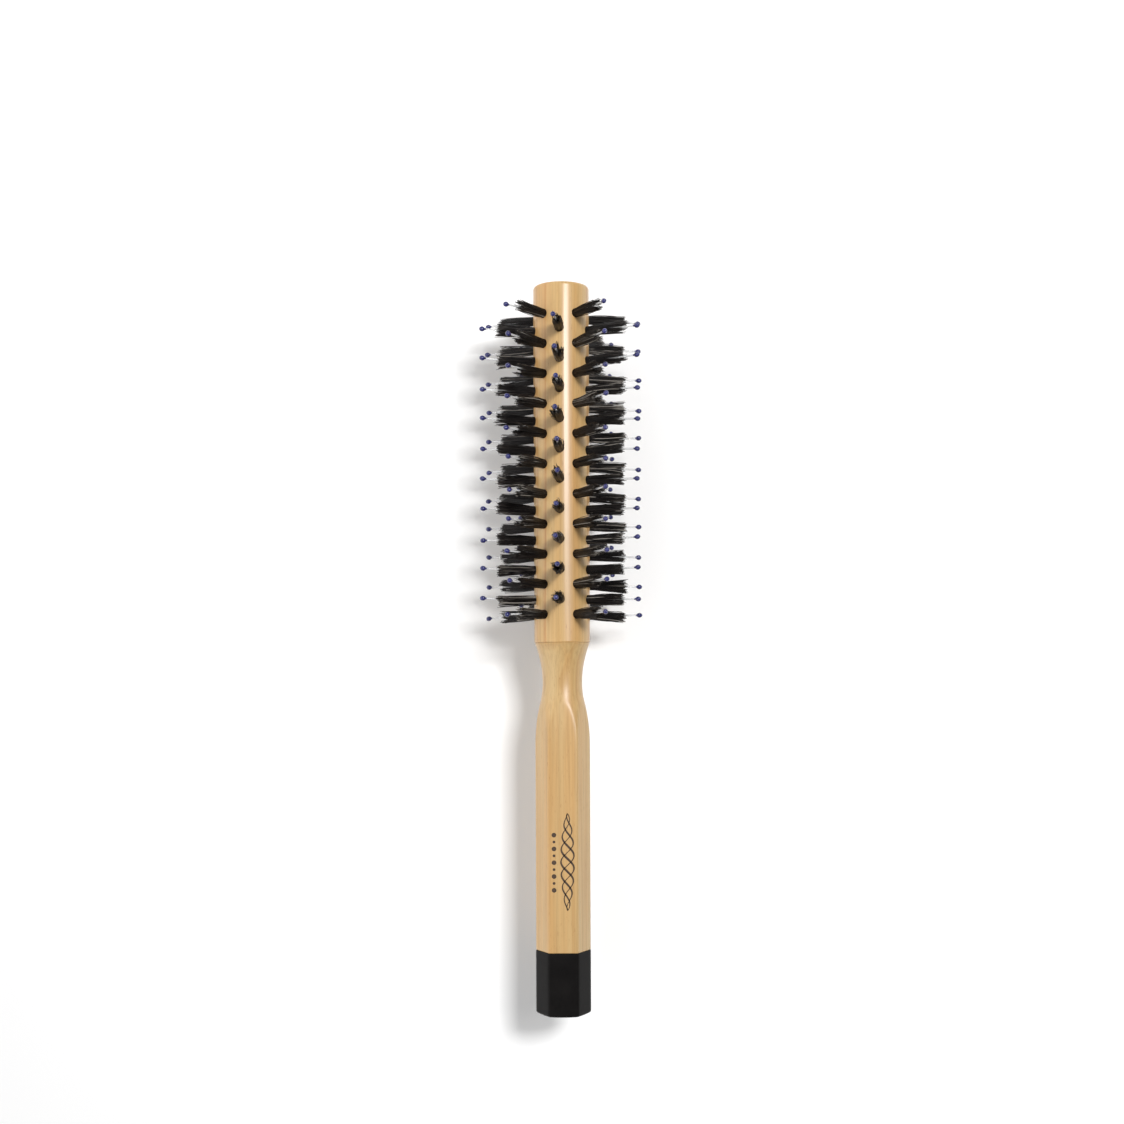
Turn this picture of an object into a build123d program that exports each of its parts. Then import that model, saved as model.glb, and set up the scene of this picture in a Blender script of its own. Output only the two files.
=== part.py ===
from build123d import *
import math
import os

# A round barrel hair brush, in millimetres. +X runs along the brush's axis from the butt of the
# handle to the head, +Z is up and the origin is on the axis in the butt's end face.

# Lengths along the axis
HANDLE_LENGTH = 120.0  # butt to the shoulder that meets the barrel
BARREL_LENGTH = 115.0  # shoulder to the flat head end
CAP_LENGTH = 20.8  # end cap, from its end face to its open edge
NECK_SETBACK = 13.0  # the neck's narrowest place, back from the shoulder
FLARE_LENGTH = 20.0  # narrowest place back to the full grip

# Handle section
FLAT_COUNT = 6
FLAT_APOTHEM = 7.6  # axis to the grip's top and bottom flats
SIDE_APOTHEM = 7.85  # axis to its four side flats
GRIP_RADIUS = 8.9  # turned edges between the flats
NECK_RADIUS = 6.4
SHOULDER_RADIUS = 8.8
COVE_SHARE = 0.3  # share of the flare's bend that is hollow, next to the neck
FLAT_RUN_OUT = 0.25  # each flat fades out this far above the narrowest place

# Joint between handle and barrel
TENON_LENGTH = 16.0
TENON_WALL = 1.0  # wood left between the tenon's socket and the tuft holes
SOCKET_GAP = 0.05  # glue film round the tenon
SOCKET_END_GAP = 0.5  # glue space past the tenon's end

# End cap
CAP_PROUD = 0.05  # the cap stands this much out from the wood
CAP_RIM_ROUND = 0.7
CAP_DOME_HEIGHT = 0.5
CAP_FLAT_RADIUS = 3.0  # small flat in the middle of the dome
SPIGOT_RADIUS = 5.5
SPIGOT_LENGTH = 16.0
SPIGOT_GAP = 0.05  # glue film round the spigot
SPIGOT_END_GAP = 0.3

# Barrel
BARREL_RADIUS = 9.0
BARREL_CORE_RADIUS = 4.0  # solid wood inside the bottoms of the tuft holes
NOSE_ROUND = 1.0
BASE_ROUND = 0.4

# Rows of tufts
ROW_COUNT = 10  # even, so that long and short rows alternate
ROW_ROLL = -4.0  # degrees, first row's turn about +X away from +Z
LONG_ROW_TUFTS = 11  # a short row has one less, half a pitch along
TUFT_MARGIN = 9.0  # shoulder to the middle of the first tuft
NOSE_LENGTH = 10.0  # middle of the last tuft to the head end
HOLE_RADIUS = 1.5
TUFT_GAP = 0.03  # round a tuft in its hole
TUFT_TIP_RADIUS = 2.3
TUFT_SETBACK = 5.1  # tuft tips below the middles of the balls

# Pins, ball tips and staples
BRUSH_RADIUS = 26.8  # axis to the outside of the ball tips
BALL_RADIUS = 0.8
PIN_RADIUS = 0.3
PIN_GAP = 0.02  # round a pin in its tuft and ball
STAPLE_BITE = 0.4  # each end of a staple into the wood
STAPLE_THICKNESS = 0.5
STAPLE_HEIGHT = 1.4
STAPLE_FOLD = 0.9  # folded bristle under a staple

# Places worked out from the sizes above
NECK_AT = HANDLE_LENGTH - NECK_SETBACK
GRIP_END = NECK_AT - FLARE_LENGTH
HEAD_END = HANDLE_LENGTH + BARREL_LENGTH
TENON_RADIUS = BARREL_CORE_RADIUS - TENON_WALL
FIRST_RING = HANDLE_LENGTH + TUFT_MARGIN
TUFT_PITCH = (BARREL_LENGTH - TUFT_MARGIN - NOSE_LENGTH) / (LONG_ROW_TUFTS - 1)
STAPLE_BOTTOM = BARREL_CORE_RADIUS + STAPLE_FOLD
STAPLE_TOP = STAPLE_BOTTOM + STAPLE_HEIGHT
STAPLE_LENGTH = 2 * (HOLE_RADIUS + STAPLE_BITE)
BALL_AT = BRUSH_RADIUS - BALL_RADIUS
TUFT_TOP = BALL_AT - TUFT_SETBACK
APOTHEMS = (FLAT_APOTHEM, SIDE_APOTHEM, SIDE_APOTHEM)  # of the pairs of facing flats, in turn


def flare_bend():
    """The flare's bend in degrees, and the radii of its round and hollow arcs."""
    drop = GRIP_RADIUS - NECK_RADIUS
    bend = 2 * math.atan(drop / FLARE_LENGTH)
    both = FLARE_LENGTH / math.sin(bend)
    return math.degrees(bend), both * (1 - COVE_SHARE), both * COVE_SHARE


def rod(radius, start, end):
    """A cylinder on the brush's axis."""
    upright = Cylinder(radius, end - start, align=(Align.CENTER, Align.CENTER, Align.MIN))
    return Pos(start, 0, 0) * Rot(0, 90, 0) * upright


def post(radius, bottom, top, top_radius=None):
    """A cylinder or cone that stands up from the axis along Z."""
    rest = (Align.CENTER, Align.CENTER, Align.MIN)
    if top_radius is None:
        shape = Cylinder(radius, top - bottom, align=rest)
    else:
        shape = Cone(radius, top_radius, top - bottom, align=rest)
    return Pos(0, 0, bottom) * shape


def turned(outline):
    """The solid that an outline from axis to axis sweeps round the brush's axis."""
    start, end = outline @ 0, outline @ 1
    face = make_face(Plane.XZ * (outline + Line(end, start)))
    return revolve(face, Axis.X)


def flat_cutter(apothem):
    """What is cut off above one flat. The flat fades into the flare as a round arch."""
    run_out = NECK_RADIUS + FLAT_RUN_OUT
    clear = 2 * GRIP_RADIUS
    grip = Line((0, apothem), (GRIP_END, apothem))
    fade = TangentArc((GRIP_END, apothem), (NECK_AT, run_out), tangent=(1, 0))
    above = Polyline((NECK_AT, run_out), (NECK_AT, clear), (0, clear), (0, apothem))
    return extrude(make_face(Plane.XZ * (grip + fade + above)), clear, both=True)


def make_handle():
    bend, round_radius, hollow_radius = flare_bend()
    spigot_start = CAP_LENGTH - SPIGOT_LENGTH
    butt = Polyline(
        (spigot_start, 0),
        (spigot_start, SPIGOT_RADIUS),
        (CAP_LENGTH, SPIGOT_RADIUS),
        (CAP_LENGTH, GRIP_RADIUS),
        (GRIP_END, GRIP_RADIUS),
    )
    shoulder = JernArc(start=butt @ 1, tangent=(1, 0), radius=round_radius, arc_size=-bend)
    cove = JernArc(start=shoulder @ 1, tangent=shoulder % 1, radius=hollow_radius, arc_size=bend)
    rise = TangentArc(cove @ 1, (HANDLE_LENGTH, SHOULDER_RADIUS), tangent=(1, 0))
    tenon_end = HANDLE_LENGTH + TENON_LENGTH
    tenon = Polyline(
        (HANDLE_LENGTH, SHOULDER_RADIUS),
        (HANDLE_LENGTH, TENON_RADIUS),
        (tenon_end, TENON_RADIUS),
        (tenon_end, 0),
    )
    blank = turned(Wire([*butt.edges(), *shoulder.edges(), *cove.edges(), *rise.edges(), *tenon.edges()]))
    turn = 360 / FLAT_COUNT
    handle = Rot(turn / 2, 0, 0) * blank  # brings the turned faces' seam out of the middle of a flat
    for i in range(FLAT_COUNT):
        handle -= Rot(turn * i, 0, 0) * flat_cutter(APOTHEMS[i % len(APOTHEMS)])
    return handle


def make_end_cap():
    reach = GRIP_RADIUS + CAP_PROUD
    rest = (Align.MIN, Align.CENTER, Align.CENTER)
    slabs = [Box(CAP_LENGTH, 4 * reach, 2 * (apothem + CAP_PROUD), align=rest) for apothem in APOTHEMS]
    turn = 360 / FLAT_COUNT
    prism = slabs[0] & Rot(turn, 0, 0) * slabs[1] & Rot(2 * turn, 0, 0) * slabs[2]
    prism = fillet(prism.faces().sort_by(Axis.X)[0].edges(), CAP_RIM_ROUND)
    dome_at = (reach**2 + CAP_DOME_HEIGHT**2 - CAP_FLAT_RADIUS**2) / (2 * CAP_DOME_HEIGHT)
    dome = Pos(dome_at, 0, 0) * Sphere(math.hypot(dome_at, CAP_FLAT_RADIUS))
    envelope = rod(reach, 0, CAP_LENGTH) & dome
    bore_bottom = CAP_LENGTH - SPIGOT_LENGTH - SPIGOT_END_GAP
    return (prism & envelope) - rod(SPIGOT_RADIUS + SPIGOT_GAP, bore_bottom, CAP_LENGTH)


def make_staple():
    """A flat wire on edge across the hole, with its ends in the wood."""
    wire = Box(STAPLE_LENGTH, STAPLE_THICKNESS, STAPLE_HEIGHT, align=(Align.CENTER, Align.CENTER, Align.MIN))
    return Pos(0, 0, STAPLE_BOTTOM) * wire


def make_tuft():
    """A bundle folded round its staple, straight in the hole and splayed above the wood."""
    radius = HOLE_RADIUS - TUFT_GAP
    bundle = post(radius, BARREL_CORE_RADIUS, BARREL_RADIUS)
    splay = post(radius, BARREL_RADIUS, TUFT_TOP, TUFT_TIP_RADIUS)
    pin_hole = post(PIN_RADIUS + PIN_GAP, STAPLE_TOP, TUFT_TOP)
    return bundle + splay - make_staple() - pin_hole


def make_pin():
    return post(PIN_RADIUS, STAPLE_TOP, BALL_AT)


def make_ball():
    """A bead with a blind hole up to its middle, where the pin ends."""
    bead = Pos(0, 0, BALL_AT) * Sphere(BALL_RADIUS)
    return bead - post(PIN_RADIUS + PIN_GAP, BALL_AT - BALL_RADIUS, BALL_AT)


def row_places(row):
    """Where the tufts of one row stand. Even rows are short, odd rows long."""
    long_row = row % 2 == 1
    count = LONG_ROW_TUFTS if long_row else LONG_ROW_TUFTS - 1
    first = FIRST_RING if long_row else FIRST_RING + TUFT_PITCH / 2
    turn = ROW_ROLL + 360 / ROW_COUNT * row
    return [Pos(first + TUFT_PITCH * i, 0, 0) * Rot(turn, 0, 0) for i in range(count)]


def make_barrel():
    barrel = rod(BARREL_RADIUS, HANDLE_LENGTH, HEAD_END)
    rims = barrel.edges().filter_by(GeomType.CIRCLE).sort_by(Axis.X)
    barrel = fillet(rims[-1], NOSE_ROUND)
    rims = barrel.edges().filter_by(GeomType.CIRCLE).sort_by(Axis.X)
    barrel = fillet(rims[0], BASE_ROUND)
    socket_end = HANDLE_LENGTH + TENON_LENGTH + SOCKET_END_GAP
    barrel -= rod(TENON_RADIUS + SOCKET_GAP, HANDLE_LENGTH, socket_end)
    hole = post(HOLE_RADIUS, BARREL_CORE_RADIUS, BARREL_RADIUS + HOLE_RADIUS) + make_staple()
    places = [place for row in range(ROW_COUNT) for place in row_places(row)]
    return barrel - [place * hole for place in places]


def write(name, shape):
    export_step(shape, os.path.join("parts", name + ".step"))


os.makedirs("parts", exist_ok=True)
write("handle", make_handle())
write("barrel", make_barrel())
write("end_cap", make_end_cap())

in_each_hole = {
    "bristle_tufts": make_tuft(),
    "nylon_pins": make_pin(),
    "ball_tips": make_ball(),
    "staples": make_staple(),
}
for row in range(ROW_COUNT):
    for kind, shape in in_each_hole.items():
        copies = [place * shape for place in row_places(row)]
        write(f"{kind}_row_{row + 1:02d}", Compound(children=copies))
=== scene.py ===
import math
import random

import bpy
import numpy as np
from mathutils import Matrix, Vector


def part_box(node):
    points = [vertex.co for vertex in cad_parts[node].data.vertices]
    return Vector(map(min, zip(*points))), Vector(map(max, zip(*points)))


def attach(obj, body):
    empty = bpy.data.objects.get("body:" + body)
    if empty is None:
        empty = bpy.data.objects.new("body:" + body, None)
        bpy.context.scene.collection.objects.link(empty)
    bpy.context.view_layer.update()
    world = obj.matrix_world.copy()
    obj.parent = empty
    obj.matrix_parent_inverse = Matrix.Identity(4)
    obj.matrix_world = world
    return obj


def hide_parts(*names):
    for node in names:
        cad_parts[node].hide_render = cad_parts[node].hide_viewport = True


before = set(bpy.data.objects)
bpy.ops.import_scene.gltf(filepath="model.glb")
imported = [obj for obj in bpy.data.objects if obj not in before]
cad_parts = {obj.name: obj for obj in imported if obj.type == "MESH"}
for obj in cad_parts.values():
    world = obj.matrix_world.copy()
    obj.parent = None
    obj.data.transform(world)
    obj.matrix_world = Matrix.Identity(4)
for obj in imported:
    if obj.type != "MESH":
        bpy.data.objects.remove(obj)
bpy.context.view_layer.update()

# A round barrel hair brush. Sizes are in metres, in the CAD's frame: +X runs along the brush's axis
# from the butt of the handle to the head, and +Z is up.
BODY = "root"
ROWS = 10
TUFTS_IN_LONG_ROW = 11
SHARP_EDGE = math.radians(40)  # faces that meet at more than this are shaded apart

# Handle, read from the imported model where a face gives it
CAP_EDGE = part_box("end_cap")[1].x
SHOULDER_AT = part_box("barrel")[0].x
BARREL_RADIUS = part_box("barrel")[1].y
SPIGOT_START, TENON_END = (corner.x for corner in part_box("handle"))
SHOULDER_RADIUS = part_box("handle")[1].y
SPIGOT_RADIUS = 0.0055
TENON_RADIUS = 0.003
FLAT_COUNT = 6
FLAT_APOTHEM = 0.0076  # axis to the top and bottom flats
SIDE_APOTHEM = 0.00785  # axis to the four side flats
APOTHEMS = (FLAT_APOTHEM, SIDE_APOTHEM, SIDE_APOTHEM)  # of the pairs of facing flats, in turn
GRIP_RADIUS = 0.0089
NECK_RADIUS = 0.0064
NECK_SETBACK = 0.013  # the neck's narrowest place, back from the shoulder
FLARE_LENGTH = 0.020
COVE_SHARE = 0.3  # share of the flare's bend that is hollow
FLAT_RUN_OUT = 0.00025  # a flat fades out this far above the narrowest place
FLAT_RELEASE_RADIUS = 0.010  # how fast a flat leaves the wood past the neck
NECK_AT = SHOULDER_AT - NECK_SETBACK
GRIP_END = NECK_AT - FLARE_LENGTH

# Softening of the handle and the cap
EDGE_SHARPNESS = 60  # power that joins the flats: higher is sharper
FACING_LIMIT = 0.4  # a flat shapes the section only where its cosine is above this
WOOD_SOFT = 0.0002  # small chamfer round each turned end
END_HOLE = 0.0008  # radius of the last ring before an end is closed
GRIP_STEP = 0.0025  # between rings on the straight grip
FLARE_STEP = 0.0004  # between rings on the flare and the neck
ROUND_STEP = 2.5  # degrees between a ring's points
EDGE_CLEAR = 4.5  # degrees each side of an edge that have points of their own
EDGE_STEPS = (0, 0.35, 0.7, 1.1, 1.6, 2.3, 3.3)  # degrees from the edge to those points

# End cap
CAP_PROUD = 0.00005
CAP_RIM = 0.0007
CAP_RIM_STEPS = 10
CAP_DOME = 0.0005  # height of the domed end face
CAP_FLAT_RADIUS = 0.003
CAP_SOFT = 0.00015  # the same at the cap's open edge
CAP_STEP = 0.003
CAP_FACE_SHARES = (0.04, 0.15, 0.3, 0.45, 0.6, 0.75, 0.88)
SIDE_START = CAP_DOME + CAP_RIM + 0.0004  # the side's first ring, clear of the rim
BORE_RADIUS = SPIGOT_RADIUS + 0.00005
BORE_BOTTOM = SPIGOT_START - 0.0003

# Tufts. A pair is a range, and lean, drift, rise, stray and bow are standard deviations.
HOLE_RADIUS = 0.0015
TUFT_TOP = 0.0209
TUFT_SPLAY = 1.42  # width at the tips over width in the hole
SPLAY_RANGE = (0.92, 1.1)
TUFT_LEAN = 0.00025
CLUMPS_IN_TUFT = (6, 8)
CLUMP_SPREAD = (0.1, 1.0)  # squared distance from the tuft's middle, as a share
CLUMP_DRIFT = 0.00026
CLUMP_RISE = 0.0003
CLUMP_PULL = (0.1, 0.5)  # how far a hair's tip moves to its clump
HAIRS_IN_TUFT = (118, 146)
HAIR_ROOT_RADIUS = 0.00011
HAIR_TIP_RADIUS = 0.000065
HAIR_SIDES = 5
HAIR_RINGS = 6
HAIR_START = 0.0062
HAIR_MARGIN = 0.00012  # outermost hairs to the wall of the hole
HAIR_TURN = 0.3  # radians off an even spiral, at most
HAIR_STRAY = 0.00017
HAIR_BOW = 0.0002
HAIR_BEND = 1.35  # power by which a hair leans out above the wood
HAIR_TRIM = (-0.0001, 0.00038)  # mean and spread of the cut
DARK_TONES = (0.0, 0.34)  # along the bristle's colour ramp
LIGHT_TONES = (0.55, 1.0)
LIGHT_HAIRS = 0.05  # share of pale hairs in a usual tuft
LIGHT_CHOICES = (0.3, 0.6, 1.0, 1.5, 4.0)  # a tuft's multiple of that share
TIP_PALER = 0.22  # added to a hair's tone at its tip
HAIR_SHARES = [ring / (HAIR_RINGS - 1) for ring in range(HAIR_RINGS)]
HAIR_RADII = [
    HAIR_ROOT_RADIUS + (HAIR_TIP_RADIUS - HAIR_ROOT_RADIUS) * share**3 for share in HAIR_SHARES
]
SEED = 4100

# Pins and ball tips
PIN_RADIUS = 0.0003
PIN_START = 0.0063
PIN_BEND = 0.0007  # most that a pin leans at its tip
PIN_STEPS = 7
PIN_SIDES = 10
BALL_RADIUS = 0.0008
BALL_LENGTH = 0.00092
BALL_NECK = 0.0003  # how far the drop is drawn down onto its pin
BALL_TOP = 0.08  # share of the radius that the top ring has
BALL_STEPS = 14
BALL_SIDES = 20

# A hair's place in its cell of the UV map: the opened tube, and its two ends below and above
TUBE_LEFT, TUBE_WIDTH = 0.05, 0.90
TUBE_LOW, TUBE_HEIGHT = 0.12, 0.76
TUBE_ENDS, TUBE_END_RADIUS = (0.05, 0.95), 0.04

# Mark on the grip
MARK_LIFT = 0.00001
MARK_THICKNESS = 0.00003
MARK_START, MARK_END = 0.0345, 0.0655
STRANDS = 3
STRAND_STEPS = 60
STRAND_MIDDLE = -0.0014
STRAND_SWING = 0.0021
STRAND_WAVES = 2.5
STRAND_TAPER = 0.6
STRAND_WIDTH, STRAND_WIDENS = 0.00022, 0.00050
DOTS = 9
DOT_START, DOT_PITCH = 0.0410, 0.0022
DOT_MIDDLE = 0.0029
DOT_SIZES = (0.0015, 0.0009)
DOT_SIDES = 16

# Camera
CAMERA_AT = 0.108
CAMERA_SIDE = 0.00013
CAMERA_HEIGHT = 0.487
FRAME_WIDTH = 0.3638  # of the view in the plane of the brush's axis
SHIFT_UP = 0.105  # the picture's framing along the brush
ROLL = math.radians(-0.225)
SENSOR = 36.0  # millimetres, as Blender counts it

# Floor and light. A lamp has its place, the heading of its first side, its size and the share of
# the floor's brightness that it gives.
FLOOR_HALF = 2.5
FLOOR_ALBEDO = 0.96
KEY = ((0.40, -0.325, 0.90), (1, 0), (0.18, 0.24), 0.64)
KEY_TAIL = ((0.25, -0.465, 0.90), (0.27, 0.23), (0.36, 0.11), 0.11)
WORLD_BASE = 0.14  # strength on the right
WORLD_LEFT = 1.7  # added to that towards the left
BACKDROP = 0.9  # what the camera sees past the floor
WHITE = (1.0, 1.0, 1.0)


def new_piece(name, vertices, faces, material, slot, *stands_for):
    """A mesh piece that rides on the brush and stands for CAD nodes."""
    mesh = bpy.data.meshes.new(name)
    mesh.from_pydata(vertices, [], faces)
    mesh.update()
    mesh.shade_smooth()
    mesh.set_sharp_from_angle(angle=SHARP_EDGE)
    mesh.materials.append(material)
    obj = bpy.data.objects.new(name, mesh)
    bpy.context.scene.collection.objects.link(obj)
    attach(obj, BODY)
    if stands_for:
        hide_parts(*stands_for)
    return obj


def skin(rings):
    """Vertices and faces of a tube through rings of points, with its ends capped."""
    count = len(rings[0])
    vertices = [point for ring in rings for point in ring]
    faces = []
    for i in range(len(rings) - 1):
        a, b = i * count, (i + 1) * count
        for j in range(count):
            k = (j + 1) % count
            faces.append((a + j, a + k, b + k, b + j))
    last = (len(rings) - 1) * count
    faces.append(tuple(reversed(range(count))))
    faces.append(tuple(range(last, last + count)))
    return vertices, faces


# ---- Materials ----

HAIR_TONE = "hair_tone"


class Nodes:
    """Short calls for building one material's node tree."""

    def __init__(self, name):
        self.material = bpy.data.materials.new(name)
        self.material.use_nodes = True
        self.tree = self.material.node_tree
        self.shader = self.tree.nodes["Principled BSDF"]
        self.place = self.tree.nodes.new("ShaderNodeTexCoord").outputs["Object"]

    def link(self, source, target):
        self.tree.links.new(source, target)

    def shade(self, name, source):
        """Links a node's output to one of the shader's inputs."""
        self.link(source, self.shader.inputs[name])

    def constant(self, **values):
        """Sets the shader's own sockets, such as Coat_Weight."""
        for name, value in values.items():
            self.shader.inputs[name.replace("_", " ")].default_value = value

    def mapped(self, scale, offset=(0, 0, 0)):
        """Object coordinates, scaled and moved, for a texture."""
        node = self.tree.nodes.new("ShaderNodeMapping")
        node.inputs["Location"].default_value = offset
        node.inputs["Scale"].default_value = scale
        self.link(self.place, node.inputs["Vector"])
        return node.outputs["Vector"]

    def noise(self, vector, detail, roughness=0.55):
        node = self.tree.nodes.new("ShaderNodeTexNoise")
        node.inputs["Scale"].default_value = 1.0
        node.inputs["Detail"].default_value = detail
        node.inputs["Roughness"].default_value = roughness
        self.link(vector, node.inputs["Vector"])
        return node.outputs["Fac"]

    def rings(self, vector, scale, distortion, detail):
        node = self.tree.nodes.new("ShaderNodeTexWave")
        node.wave_type = "RINGS"
        node.rings_direction = "X"
        node.wave_profile = "SAW"
        node.inputs["Scale"].default_value = scale
        node.inputs["Distortion"].default_value = distortion
        node.inputs["Detail"].default_value = detail
        node.inputs["Detail Scale"].default_value = 0.8
        self.link(vector, node.inputs["Vector"])
        return node.outputs["Fac"]

    def ramp(self, value, *stops):
        """A colour ramp: stops are (place, colour)."""
        node = self.tree.nodes.new("ShaderNodeValToRGB")
        marks = node.color_ramp.elements
        while len(marks) < len(stops):
            marks.new(0.5)
        for mark, (at, colour) in zip(marks, stops):
            mark.position = at
            mark.color = (*colour, 1.0)
        self.link(value, node.inputs["Fac"])
        return node.outputs["Color"]

    def spread(self, value, low, high, to_low, to_high):
        """The value's range from low to high, stretched to another range."""
        node = self.tree.nodes.new("ShaderNodeMapRange")
        ends = {"From Min": low, "From Max": high, "To Min": to_low, "To Max": to_high}
        for name, number in ends.items():
            node.inputs[name].default_value = number
        self.link(value, node.inputs["Value"])
        return node.outputs["Result"]

    def scaled_sum(self, value, factor, extra):
        """The value times a factor, plus another node's output."""
        node = self.tree.nodes.new("ShaderNodeMath")
        node.operation = "MULTIPLY_ADD"
        self.link(value, node.inputs[0])
        node.inputs[1].default_value = factor
        self.link(extra, node.inputs[2])
        return node.outputs["Value"]

    def mixed(self, share, first, second, blend="MIX"):
        node = self.tree.nodes.new("ShaderNodeMix")
        node.data_type = "RGBA"
        node.blend_type = blend
        colours = [socket for socket in node.inputs if socket.type == "RGBA"]
        self.feed(node.inputs[0], share)
        self.feed(colours[0], first)
        self.feed(colours[1], second)
        return [socket for socket in node.outputs if socket.type == "RGBA"][0]

    def feed(self, socket, value):
        """Gives a socket a link, a colour or a number."""
        if isinstance(value, bpy.types.NodeSocket):
            self.link(value, socket)
        elif isinstance(value, tuple):
            socket.default_value = (*value, 1.0)
        else:
            socket.default_value = value

    def bump(self, height, strength, distance):
        node = self.tree.nodes.new("ShaderNodeBump")
        node.inputs["Strength"].default_value = strength
        node.inputs["Distance"].default_value = distance
        self.link(height, node.inputs["Height"])
        self.shade("Normal", node.outputs["Normal"])


def wood(name, pale, deep, ring_centre, coat_roughness):
    """Lacquered beech: growth rings cut lengthwise, long fibres and short dark flecks."""
    n = Nodes(name)
    bands = n.rings(n.mapped((0.06, 1, 1), ring_centre), scale=105, distortion=3.2, detail=3)
    broad = n.noise(n.mapped((9, 190, 190), (3, 1, 2)), detail=3)
    fibres = n.noise(n.mapped((30, 1500, 1500)), detail=5, roughness=0.65)
    flecks = n.noise(n.mapped((420, 2600, 2600), (1, 5, 3)), detail=2, roughness=0.5)

    growth = n.ramp(bands, (0.0, pale), (0.62, pale), (0.93, deep), (1.0, pale))
    warm = tuple(c * k for c, k in zip(pale, (1.03, 0.87, 0.72)))
    colour = n.mixed(n.spread(broad, 0.42, 0.66, 0.0, 0.75), growth, warm)
    fibre_tone = n.ramp(fibres, (0.25, (0.80, 0.76, 0.70)), (0.55, WHITE), (0.8, (1.06, 1.05, 1.02)))
    colour = n.mixed(1.0, colour, fibre_tone, "MULTIPLY")
    fleck_tone = n.ramp(flecks, (0.0, WHITE), (0.64, WHITE), (0.74, (0.72, 0.62, 0.52)))
    colour = n.mixed(0.65, colour, fleck_tone, "MULTIPLY")

    n.shade("Base Color", colour)
    n.shade("Roughness", n.spread(fibres, 0.3, 0.7, 0.38, 0.52))
    n.constant(
        Coat_Weight=1.0,
        Coat_Roughness=coat_roughness,
        Coat_IOR=1.45,
        Specular_IOR_Level=0.1,
    )
    n.bump(fibres, strength=0.12, distance=0.00003)
    return n.material


def black_lacquer():
    """The end cap: black with fine orange peel and faint dust-fine specks."""
    n = Nodes("cap_black")
    peel = n.noise(n.mapped((700, 700, 700)), detail=2)
    wear = n.noise(n.mapped((160, 160, 160), (2, 2, 2)), detail=6, roughness=0.7)
    n.shade("Base Color", n.ramp(wear, (0.3, (0.0065, 0.006, 0.006)), (0.75, (0.011, 0.010, 0.0097))))
    n.shade("Roughness", n.spread(wear, 0.3, 0.75, 0.26, 0.36))
    n.constant(Specular_IOR_Level=0.04)
    n.bump(peel, strength=0.10, distance=0.00004)
    return n.material


def bristle():
    """Natural bristle: black to dark brown, with a few greyish hairs and paler tips."""
    n = Nodes("bristle_dark")
    hair = n.tree.nodes.new("ShaderNodeAttribute")
    hair.attribute_name = HAIR_TONE
    mottle = n.noise(n.mapped((900, 900, 900)), detail=2)
    tone = n.scaled_sum(mottle, 0.16, hair.outputs["Fac"])
    colour = n.ramp(
        tone,
        (0.05, (0.0022, 0.0016, 0.0018)),
        (0.40, (0.0080, 0.0056, 0.0050)),
        (0.75, (0.060, 0.050, 0.042)),
        (1.0, (0.40, 0.37, 0.33)),
    )
    n.shade("Base Color", colour)
    n.shade("Roughness", n.spread(tone, 0.0, 1.0, 0.34, 0.52))
    n.constant(Specular_IOR_Level=0.35)
    return n.material


def nylon():
    """The pins: clear nylon with slightly cloudy stretches."""
    n = Nodes("nylon_clear")
    cloud = n.noise(n.mapped((300, 300, 300)), detail=2)
    n.shade("Base Color", n.ramp(cloud, (0.3, (0.86, 0.87, 0.88)), (0.7, (0.93, 0.93, 0.92))))
    n.shade("Roughness", n.spread(cloud, 0.3, 0.7, 0.16, 0.28))
    n.constant(Transmission_Weight=0.55, IOR=1.53)
    return n.material


def tip_plastic():
    """The ball tips: blue moulded plastic, a little uneven under a thin gloss."""
    n = Nodes("tip_navy")
    tone = n.noise(n.mapped((900, 900, 900)), detail=3)
    n.shade("Base Color", n.ramp(tone, (0.3, (0.012, 0.012, 0.082)), (0.7, (0.024, 0.028, 0.16))))
    n.shade("Roughness", n.spread(tone, 0.3, 0.7, 0.20, 0.32))
    n.constant(Coat_Weight=0.5, Coat_Roughness=0.06)
    n.bump(tone, strength=0.08, distance=0.00002)
    return n.material


def steel():
    """The staples: wire brushed along its length."""
    n = Nodes("staple_steel")
    brushed = n.noise(n.mapped((500, 6000, 6000)), detail=4)
    n.shade("Base Color", n.ramp(brushed, (0.3, (0.42, 0.42, 0.43)), (0.7, (0.60, 0.60, 0.61))))
    n.shade("Roughness", n.spread(brushed, 0.3, 0.7, 0.25, 0.45))
    n.constant(Metallic=1.0)
    return n.material


def ink():
    """The mark: dark brown, burnt and a little uneven."""
    n = Nodes("mark_brown")
    tone = n.noise(n.mapped((1200, 1200, 1200)), detail=4)
    n.shade("Base Color", n.ramp(tone, (0.3, (0.030, 0.016, 0.008)), (0.72, (0.075, 0.042, 0.020))))
    n.shade("Roughness", n.spread(tone, 0.3, 0.7, 0.45, 0.7))
    return n.material


# ---- Handle and end cap ----


def envelope(x):
    """Radius of the turned handle at x: straight grip, round and hollow arcs, cove."""
    drop = GRIP_RADIUS - NECK_RADIUS
    bend = 2 * math.atan(drop / FLARE_LENGTH)
    both = FLARE_LENGTH / math.sin(bend)
    round_radius, hollow_radius = both * (1 - COVE_SHARE), both * COVE_SHARE
    if x <= GRIP_END:
        return GRIP_RADIUS
    run = x - GRIP_END
    if run <= round_radius * math.sin(bend):
        return GRIP_RADIUS - round_radius + math.sqrt(round_radius**2 - run**2)
    back = NECK_AT - x
    if back > 0:
        return NECK_RADIUS + hollow_radius - math.sqrt(hollow_radius**2 - back**2)
    rise = SHOULDER_RADIUS - NECK_RADIUS
    cove_radius = (NECK_SETBACK**2 + rise**2) / (2 * rise)
    return NECK_RADIUS + cove_radius - math.sqrt(cove_radius**2 - back**2)


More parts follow.
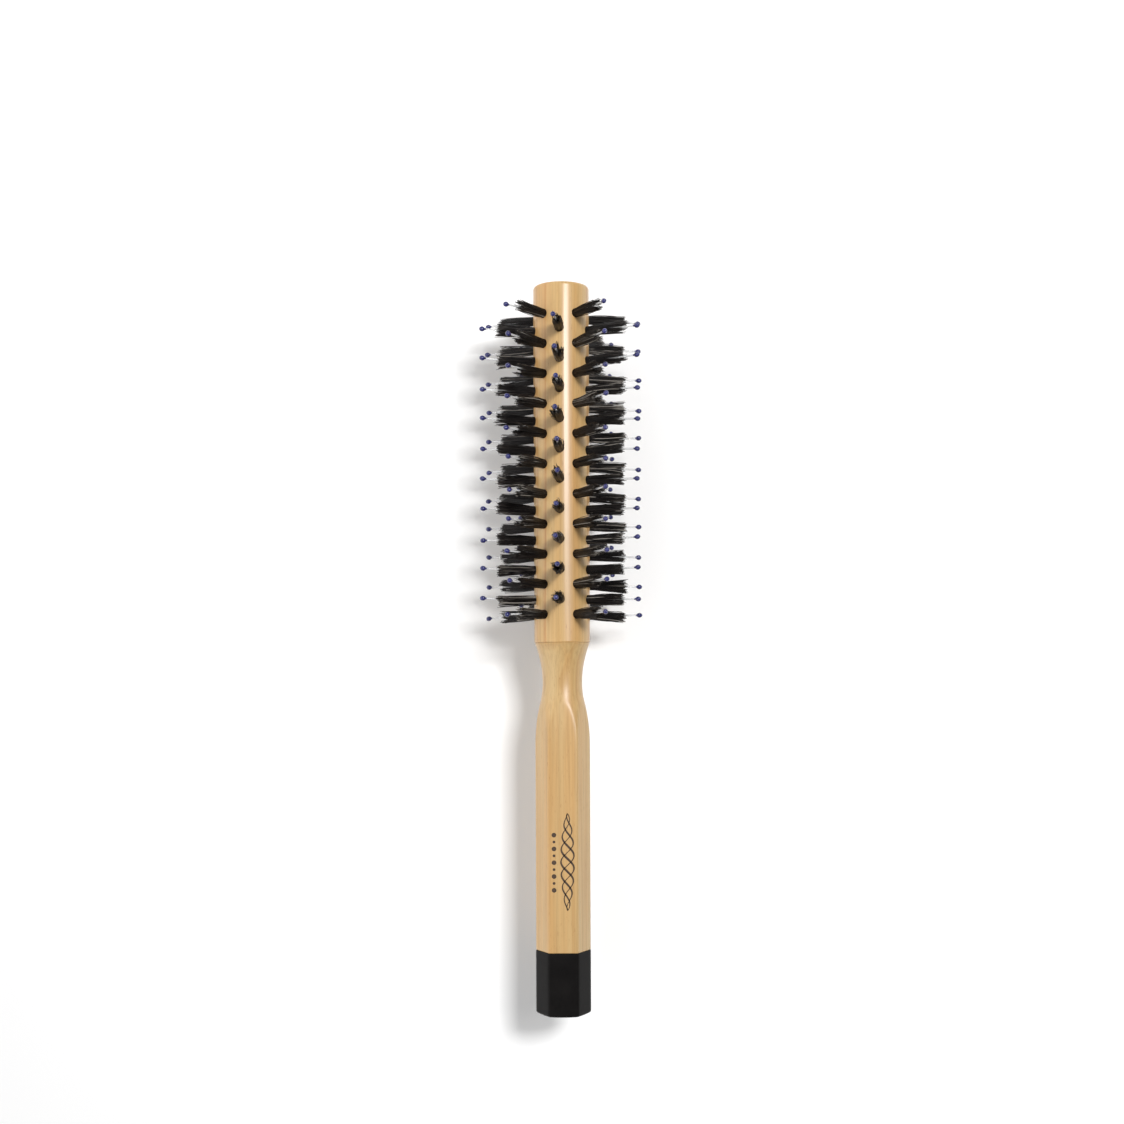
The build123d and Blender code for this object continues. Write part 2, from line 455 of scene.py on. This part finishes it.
def flat_distance(x, apothem):
    """How far from the axis a flat is at x. It fades out towards the neck."""
    if x <= GRIP_END:
        return apothem
    drop = apothem - NECK_RADIUS - FLAT_RUN_OUT
    fade_radius = (FLARE_LENGTH**2 + drop**2) / (2 * drop)
    run = x - GRIP_END
    if run <= FLARE_LENGTH:
        return apothem - fade_radius + math.sqrt(fade_radius**2 - run**2)
    return NECK_RADIUS + FLAT_RUN_OUT + (x - NECK_AT) ** 2 / FLAT_RELEASE_RADIUS


def section_radius(angle, turned_radius, apothems):
    """The grip's section: a circle cut by six flats, with softened edges."""
    total = 1.0
    for i in range(FLAT_COUNT):
        facing = math.cos(angle - 2 * math.pi * i / FLAT_COUNT)
        if facing > FACING_LIMIT:
            total += (facing * turned_radius / apothems[i % len(apothems)]) ** EDGE_SHARPNESS
    return turned_radius * total ** (-1 / EDGE_SHARPNESS)


def spread_angles():
    """Angles round the section from +Z, closer together at its six edges."""
    half_flat = (SIDE_APOTHEM - FLAT_APOTHEM / 2) / math.sin(math.pi / 3)
    edge = math.degrees(math.atan2(half_flat, FLAT_APOTHEM))
    edges = [edge, 90, 180 - edge, 180 + edge, 270, 360 - edge]
    angles = [ROUND_STEP * i for i in range(round(360 / ROUND_STEP))]
    angles = [a for a in angles if all(abs(a - e) > EDGE_CLEAR for e in edges)]
    for e in edges:
        angles += [e + step for step in EDGE_STEPS]
        angles += [e - step for step in EDGE_STEPS if step]
    return sorted(math.radians(a) for a in angles)


ANGLES = spread_angles()


def ring(x, radius):
    """Points round the axis at x. The radius is a number or a function of the angle from +Z."""
    points = []
    for angle in ANGLES:
        r = radius(angle) if callable(radius) else radius
        points.append((x, -r * math.sin(angle), r * math.cos(angle)))
    return points


def spaced(start, end, step):
    """Even places from start to end, at most a step apart."""
    count = max(1, math.ceil((end - start) / step))
    return [start + (end - start) * i / count for i in range(count + 1)]


def build_handle(material):
    """Spigot, grip, neck and tenon as one skin of rings from butt to barrel."""

    def grip(x, inset=0.0):
        turned, flats = envelope(x), [flat_distance(x, apothem) for apothem in APOTHEMS]
        return lambda angle: section_radius(angle, turned, flats) - inset

    profile = [
        (SPIGOT_START, END_HOLE),
        (SPIGOT_START, SPIGOT_RADIUS - WOOD_SOFT),
        (SPIGOT_START + WOOD_SOFT, SPIGOT_RADIUS),
        (CAP_EDGE, SPIGOT_RADIUS),
        (CAP_EDGE, grip(CAP_EDGE, WOOD_SOFT)),
        (CAP_EDGE + WOOD_SOFT, grip(CAP_EDGE)),
    ]
    straight = spaced(CAP_EDGE + 2 * WOOD_SOFT, GRIP_END, GRIP_STEP)
    curved = spaced(GRIP_END, SHOULDER_AT - WOOD_SOFT, FLARE_STEP)[1:]
    profile += [(x, grip(x)) for x in straight + curved]
    profile += [
        (SHOULDER_AT, SHOULDER_RADIUS - WOOD_SOFT),
        (SHOULDER_AT, TENON_RADIUS),
        (TENON_END - WOOD_SOFT, TENON_RADIUS),
        (TENON_END, TENON_RADIUS - WOOD_SOFT),
        (TENON_END, END_HOLE),
    ]
    vertices, faces = skin([ring(x, radius) for x, radius in profile])
    new_piece("handle_turned", vertices, faces, material, "handle_wood", "handle")


def build_end_cap(material):
    """The six-sided cap from its domed end, over the rim and sides, and down its bore."""
    turned = GRIP_RADIUS + CAP_PROUD
    apothems = [apothem + CAP_PROUD for apothem in APOTHEMS]

    def side(angle):
        return section_radius(angle, turned, apothems)

    def open_edge(angle):
        return side(angle) - CAP_SOFT

    def dome_at(r):
        return CAP_DOME * max(0.0, r * r - CAP_FLAT_RADIUS**2) / (turned**2 - CAP_FLAT_RADIUS**2)

    def end_ring(inset, share=1.0, depth=0.0):
        """The section, drawn in and shrunk, on the domed end or a depth behind it."""
        points = []
        for angle in ANGLES:
            r = (side(angle) - inset) * share
            points.append((dome_at(r) + depth, -r * math.sin(angle), r * math.cos(angle)))
        return points

    rings = [end_ring(CAP_RIM, share) for share in CAP_FACE_SHARES]
    for i in range(CAP_RIM_STEPS + 1):
        turn = math.pi / 2 * i / CAP_RIM_STEPS
        rings.append(end_ring(CAP_RIM * (1 - math.sin(turn)), depth=CAP_RIM * (1 - math.cos(turn))))
    rings += [ring(x, side) for x in spaced(SIDE_START, CAP_EDGE - CAP_SOFT, CAP_STEP)]
    rings += [ring(CAP_EDGE, open_edge), ring(CAP_EDGE, BORE_RADIUS)]
    rings += [ring(BORE_BOTTOM, BORE_RADIUS), ring(BORE_BOTTOM, END_HOLE)]
    vertices, faces = skin(rings)
    new_piece("end_cap_black", vertices, faces, material, "cap_plastic", "end_cap")


# ---- Tufts, pins and ball tips ----


def row_places(row):
    """One row's tufts: places along X, turn about +X, and radius of the ball tips' middles."""
    low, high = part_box(f"ball_tips_row_{row:02d}")
    count = TUFTS_IN_LONG_ROW - row % 2
    first, last = low.x + BALL_RADIUS, high.x - BALL_RADIUS
    middle = (low + high) / 2
    turn = math.atan2(-middle.y, middle.z)
    reach = math.hypot(middle.y, middle.z)
    return [first + (last - first) * i / (count - 1) for i in range(count)], turn, reach


def placed(point, x, turn):
    """A point of a tuft, with its own Z as the height above the axis, put in its place."""
    u, v, height = point
    y = -height * math.sin(turn) + v * math.cos(turn)
    z = height * math.cos(turn) + v * math.sin(turn)
    return (x + u, y, z)


def add_tube(shape, path, radii, sides):
    """Adds a closed tube along a nearly upright path of (u, v, height) points."""
    vertices, faces = shape
    start = len(vertices)
    for (u, v, height), radius in zip(path, radii):
        for k in range(sides):
            angle = 2 * math.pi * k / sides
            vertices.append((u + radius * math.cos(angle), v + radius * math.sin(angle), height))
    for i in range(len(path) - 1):
        a, b = start + i * sides, start + (i + 1) * sides
        for k in range(sides):
            m = (k + 1) % sides
            faces.append((a + k, a + m, b + m, b + k))
    last = start + (len(path) - 1) * sides
    faces.append(tuple(start + k for k in reversed(range(sides))))
    faces.append(tuple(last + k for k in range(sides)))


def add_placed(row_shape, shape, x, turn):
    """Adds one tuft's shape to its row's, in its place."""
    vertices, faces = row_shape
    start = len(vertices)
    vertices += [placed(point, x, turn) for point in shape[0]]
    faces += [tuple(start + i for i in face) for face in shape[1]]


def tuft_clumps(dice):
    """Loose clumps that hairs gather in: middle (u, v), drift of the tips (u, v) and rise."""
    clumps = []
    for _ in range(dice.randint(*CLUMPS_IN_TUFT)):
        angle = dice.uniform(0, 2 * math.pi)
        far = HOLE_RADIUS * math.sqrt(dice.uniform(*CLUMP_SPREAD))
        drift_u, drift_v = dice.gauss(0, CLUMP_DRIFT), dice.gauss(0, CLUMP_DRIFT)
        rise = dice.gauss(0, CLUMP_RISE)
        clumps.append((far * math.cos(angle), far * math.sin(angle), drift_u, drift_v, rise))
    return clumps


def hair_path(root, tip, bow, top):
    """A hair from its root (u, v), straight in the hole, then bent out to its tip."""
    path = []
    for share in HAIR_SHARES:
        height = HAIR_START + (top - HAIR_START) * share
        out = max(0.0, (height - BARREL_RADIUS) / (TUFT_TOP - BARREL_RADIUS))
        bend = out**HAIR_BEND
        belly = 4 * out * (1 - out) if out < 1 else 0.0
        u = root[0] + (tip[0] - root[0]) * bend + bow[0] * belly
        v = root[1] + (tip[1] - root[1]) * bend + bow[1] * belly
        path.append((u, v, height))
    return path


def tuft_hairs(dice):
    """Each hair of one tuft: its path and its tone at each ring."""
    golden = math.pi * (3 - math.sqrt(5))
    count = dice.randint(*HAIRS_IN_TUFT)
    clumps = tuft_clumps(dice)
    lean_u, lean_v = dice.gauss(0, TUFT_LEAN), dice.gauss(0, TUFT_LEAN)
    light = LIGHT_HAIRS * dice.choice(LIGHT_CHOICES)
    for i in range(count):
        far = (HOLE_RADIUS - HAIR_MARGIN) * math.sqrt((i + 0.5) / count)
        if far < PIN_RADIUS + HAIR_ROOT_RADIUS:
            far += PIN_RADIUS
        angle = golden * i + dice.uniform(-HAIR_TURN, HAIR_TURN)
        u, v = far * math.cos(angle), far * math.sin(angle)
        clump = min(clumps, key=lambda c: (c[0] - u) ** 2 + (c[1] - v) ** 2)
        clump_u, clump_v, drift_u, drift_v, rise = clump
        pull = dice.uniform(*CLUMP_PULL)
        splay = TUFT_SPLAY * dice.uniform(*SPLAY_RANGE)
        tip_u = splay * (u + pull * (clump_u - u)) + drift_u + lean_u + dice.gauss(0, HAIR_STRAY)
        tip_v = splay * (v + pull * (clump_v - v)) + drift_v + lean_v + dice.gauss(0, HAIR_STRAY)
        top = TUFT_TOP + rise + dice.gauss(*HAIR_TRIM)
        bow = (dice.gauss(0, HAIR_BOW), dice.gauss(0, HAIR_BOW))
        tones = LIGHT_TONES if dice.random() < light else DARK_TONES
        tone = dice.uniform(*tones)
        path = hair_path((u, v), (tip_u, tip_v), bow, top)
        yield path, [min(1.0, tone + TIP_PALER * share**4) for share in HAIR_SHARES]


def pin_bend(dice):
    """How far a pin leans at its tip, as (u, v)."""
    angle, far = dice.uniform(0, 2 * math.pi), PIN_BEND * math.sqrt(dice.random())
    return far * math.cos(angle), far * math.sin(angle)


def bent(bend, height, reach):
    """A bent pin's point at a height above the brush's axis."""
    out = max(0.0, (height - BARREL_RADIUS) / (reach - BARREL_RADIUS))
    return bend[0] * out**2, bend[1] * out**2, height


def ball_profile():
    """Half outline of a ball tip as (radius, height from its middle), drawn down onto the pin."""
    points = [(PIN_RADIUS, -BALL_LENGTH - BALL_NECK)]
    for i in range(2, BALL_STEPS):
        turn = math.pi * i / BALL_STEPS
        points.append((BALL_RADIUS * math.sin(turn), -BALL_LENGTH * math.cos(turn)))
    points.append((BALL_RADIUS * BALL_TOP, BALL_LENGTH))
    return points


def lay_out_hairs(mesh, count):
    """A UV map that gives each hair a cell of its own, with its tube opened out flat."""
    corners = []
    for i in range(HAIR_RINGS - 1):
        low, high = (TUBE_LOW + TUBE_HEIGHT * (i + step) / (HAIR_RINGS - 1) for step in (0, 1))
        for k in range(HAIR_SIDES):
            left, right = (TUBE_LEFT + TUBE_WIDTH * (k + step) / HAIR_SIDES for step in (0, 1))
            corners += [(left, low), (right, low), (right, high), (left, high)]
    for middle in TUBE_ENDS:
        for k in range(HAIR_SIDES):
            turn = 2 * math.pi * k / HAIR_SIDES
            u = 0.5 + TUBE_END_RADIUS * math.cos(turn)
            corners.append((u, middle + TUBE_END_RADIUS * math.sin(turn)))
    across = math.ceil(math.sqrt(count))
    cells = np.array([(i % across, i // across) for i in range(count)], np.float32)
    places = (cells[:, None, :] + np.array(corners, np.float32)[None, :, :]) / across
    mesh.uv_layers.new(name="OFBake").data.foreach_set("uv", places.ravel())


def build_row(row, bristle_material, pin_material, ball_material):
    """One row's hairs, pins and ball tips, each as one piece."""
    dice = random.Random(SEED + row)
    places, turn, reach = row_places(row)
    profile = ball_profile()
    heights = [PIN_START] + [
        BARREL_RADIUS + (reach - BARREL_RADIUS) * i / PIN_STEPS for i in range(PIN_STEPS + 1)
    ]
    hairs, pins, balls = ([], []), ([], []), ([], [])
    shades = []
    for x in places:
        tuft, pin, ball = ([], []), ([], []), ([], [])
        for path, tones in tuft_hairs(dice):
            add_tube(tuft, path, HAIR_RADII, HAIR_SIDES)
            shades += [tone for tone in tones for _ in range(HAIR_SIDES)]
        bend = pin_bend(dice)
        path = [bent(bend, height, reach) for height in heights]
        add_tube(pin, path, [PIN_RADIUS] * len(path), PIN_SIDES)
        path = [bent(bend, reach + up, reach) for _, up in profile]
        add_tube(ball, path, [radius for radius, _ in profile], BALL_SIDES)
        for row_shape, shape in ((hairs, tuft), (pins, pin), (balls, ball)):
            add_placed(row_shape, shape, x, turn)
    tag = f"row_{row:02d}"
    piece = new_piece(f"hairs_{tag}", *hairs, bristle_material, "bristle", f"bristle_tufts_{tag}")
    piece.data.attributes.new(HAIR_TONE, "FLOAT", "POINT").data.foreach_set("value", shades)
    lay_out_hairs(piece.data, len(shades) // (HAIR_SIDES * HAIR_RINGS))
    new_piece(f"pins_{tag}", *pins, pin_material, "nylon", f"nylon_pins_{tag}")
    new_piece(f"tips_{tag}", *balls, ball_material, "tip_plastic", f"ball_tips_{tag}")


# ---- Mark on the grip ----


def add_strip(shape, points, widths, low, high):
    """Adds a flat ribbon along (x, y) points, between two heights."""
    vertices, faces = shape
    start, count = len(vertices), len(points)
    for i, ((x, y), width) in enumerate(zip(points, widths)):
        before, after = points[max(i - 1, 0)], points[min(i + 1, count - 1)]
        along = Vector((after[0] - before[0], after[1] - before[1])).normalized()
        side = Vector((-along.y, along.x)) * width / 2
        for z in (low, high):
            vertices.append((x + side.x, y + side.y, z))
            vertices.append((x - side.x, y - side.y, z))
    for i in range(count - 1):
        a, b = start + 4 * i, start + 4 * (i + 1)
        for p, q in ((0, 1), (1, 3), (3, 2), (2, 0)):
            faces.append((a + p, b + p, b + q, a + q))
    faces.append((start, start + 2, start + 3, start + 1))
    end = start + 4 * (count - 1)
    faces.append((end, end + 1, end + 3, end + 2))


def add_dot(shape, x, y, size, low, high):
    """Adds a flat round dot between two heights."""
    vertices, faces = shape
    a, b = len(vertices), len(vertices) + DOT_SIDES
    angles = [2 * math.pi * k / DOT_SIDES for k in range(DOT_SIDES)]
    corners = [(x + size / 2 * math.cos(angle), y + size / 2 * math.sin(angle)) for angle in angles]
    for z in (low, high):
        vertices.extend((*corner, z) for corner in corners)
    faces.append(tuple(a + k for k in reversed(range(DOT_SIDES))))
    faces.append(tuple(b + k for k in range(DOT_SIDES)))
    for k in range(DOT_SIDES):
        m = (k + 1) % DOT_SIDES
        faces.append((a + k, a + m, b + m, b + k))


def build_mark(material):
    """A generic mark on the upper flat: three waving strands with a row of dots beside them."""
    low = FLAT_APOTHEM + MARK_LIFT
    high = FLAT_APOTHEM + MARK_LIFT + MARK_THICKNESS
    shape = ([], [])
    for strand in range(STRANDS):
        points, widths = [], []
        for i in range(STRAND_STEPS + 1):
            share = i / STRAND_STEPS
            swell = math.sin(math.pi * share) ** STRAND_TAPER
            phase = 2 * math.pi * (STRAND_WAVES * share + strand / STRANDS)
            x = MARK_START + (MARK_END - MARK_START) * share
            points.append((x, STRAND_MIDDLE + STRAND_SWING * swell * math.sin(phase)))
            widths.append(STRAND_WIDTH + STRAND_WIDENS * swell * (0.55 + 0.45 * math.cos(phase)))
        add_strip(shape, points, widths, low, high)
    for i in range(DOTS):
        add_dot(shape, DOT_START + DOT_PITCH * i, DOT_MIDDLE, DOT_SIZES[i % 2], low, high)
    new_piece("grip_mark", *shape, material, "handle_wood")


# ---- Floor, light and camera ----


def softbox(name, aim, place, heading, size, share):
    """A rectangular lamp facing aim. The share is how much of the floor's brightness it gives."""
    place = Vector(place)
    reach = (place - aim).length
    back = (place - aim) / reach
    heading = Vector((*heading, 0))
    along = (heading - back * back.dot(heading)).normalized()
    lamp = bpy.data.lights.new(name, "AREA")
    lamp.shape = "RECTANGLE"
    lamp.size, lamp.size_y = size
    lamp.energy = share * (math.pi * reach) ** 2 / (FLOOR_ALBEDO * back.z)
    light = bpy.data.objects.new(name, lamp)
    facing = Matrix((along, back.cross(along), back)).transposed()
    light.matrix_world = Matrix.Translation(place) @ facing.to_4x4()
    bpy.context.scene.collection.objects.link(light)


def build_floor():
    """A plain pale floor that the lowest ball tips rest on."""
    rows = range(1, ROWS + 1)
    floor_at = min(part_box(f"ball_tips_row_{row:02d}")[0].z for row in rows)
    near, far = -FLOOR_HALF, FLOOR_HALF
    corners = [(x, y, floor_at) for x, y in ((near, near), (far, near), (far, far), (near, far))]
    mesh = bpy.data.meshes.new("floor")
    mesh.from_pydata(corners, [], [(0, 1, 2, 3)])
    floor = bpy.data.objects.new("floor", mesh)
    bpy.context.scene.collection.objects.link(floor)
    n = Nodes("floor_white")
    n.constant(
        Base_Color=(FLOOR_ALBEDO, FLOOR_ALBEDO, FLOOR_ALBEDO, 1.0),
        Roughness=0.9,
        Specular_IOR_Level=0.0,
    )
    mesh.materials.append(n.material)


def build_world():
    """Soft light that is brighter on the left. The camera itself sees a plain pale backdrop."""
    world = bpy.data.worlds.new("world")
    world.use_nodes = True
    tree = world.node_tree
    direction = tree.nodes.new("ShaderNodeTexCoord").outputs["Generated"]
    split = tree.nodes.new("ShaderNodeSeparateXYZ")
    tree.links.new(direction, split.inputs["Vector"])
    left = tree.nodes.new("ShaderNodeMapRange")
    left.inputs["To Min"].default_value = WORLD_BASE
    left.inputs["To Max"].default_value = WORLD_BASE + WORLD_LEFT
    tree.links.new(split.outputs["Y"], left.inputs["Value"])
    light = tree.nodes["Background"]
    light.inputs["Color"].default_value = (*WHITE, 1.0)
    tree.links.new(left.outputs["Result"], light.inputs["Strength"])
    backdrop = tree.nodes.new("ShaderNodeBackground")
    backdrop.inputs["Color"].default_value = (*WHITE, 1.0)
    backdrop.inputs["Strength"].default_value = BACKDROP
    seen = tree.nodes.new("ShaderNodeMixShader")
    ray = tree.nodes.new("ShaderNodeLightPath")
    tree.links.new(ray.outputs["Is Camera Ray"], seen.inputs["Fac"])
    tree.links.new(light.outputs["Background"], seen.inputs[1])
    tree.links.new(backdrop.outputs["Background"], seen.inputs[2])
    tree.links.new(seen.outputs["Shader"], tree.nodes["World Output"].inputs["Surface"])
    bpy.context.scene.world = world
    bpy.context.scene.view_settings.view_transform = "Standard"


def build_camera():
    """Looks straight down at the brush, with the head at the top of the picture."""
    lens = bpy.data.cameras.new("camera")
    lens.sensor_width = SENSOR
    lens.lens = SENSOR * CAMERA_HEIGHT / FRAME_WIDTH
    lens.shift_y = SHIFT_UP
    camera = bpy.data.objects.new("camera", lens)
    right, up, back = Vector((0, -1, 0)), Vector((1, 0, 0)), Vector((0, 0, 1))
    facing = Matrix((right, up, back)).transposed() @ Matrix.Rotation(ROLL, 3, "Z")
    place = Matrix.Translation((CAMERA_AT, CAMERA_SIDE, CAMERA_HEIGHT))
    camera.matrix_world = place @ facing.to_4x4()
    bpy.context.scene.collection.objects.link(camera)
    bpy.context.scene.camera = camera


handle_wood = wood(
    "handle_beech",
    pale=(0.535, 0.370, 0.170),
    deep=(0.478, 0.298, 0.120),
    ring_centre=(0.0, 0.019, 0.034),
    coat_roughness=0.35,
)
barrel_wood = wood(
    "barrel_beech",
    pale=(0.560, 0.370, 0.160),
    deep=(0.470, 0.235, 0.076),
    ring_centre=(0.0, -0.006, 0.019),
    coat_roughness=0.30,
)
staple_steel = steel()
row_materials = bristle(), nylon(), tip_plastic()

build_camera()
build_floor()
build_world()
aim = Vector((CAMERA_AT, 0, 0))
softbox("key", aim, *KEY)
softbox("key_tail", aim, *KEY_TAIL)

build_handle(handle_wood)
build_end_cap(black_lacquer())
for row in range(1, ROWS + 1):
    build_row(row, *row_materials)
build_mark(ink())
for name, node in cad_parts.items():
    if name == "barrel" or name.startswith("staples"):
        node.data.materials.clear()
        node.data.materials.append(barrel_wood if name == "barrel" else staple_steel)
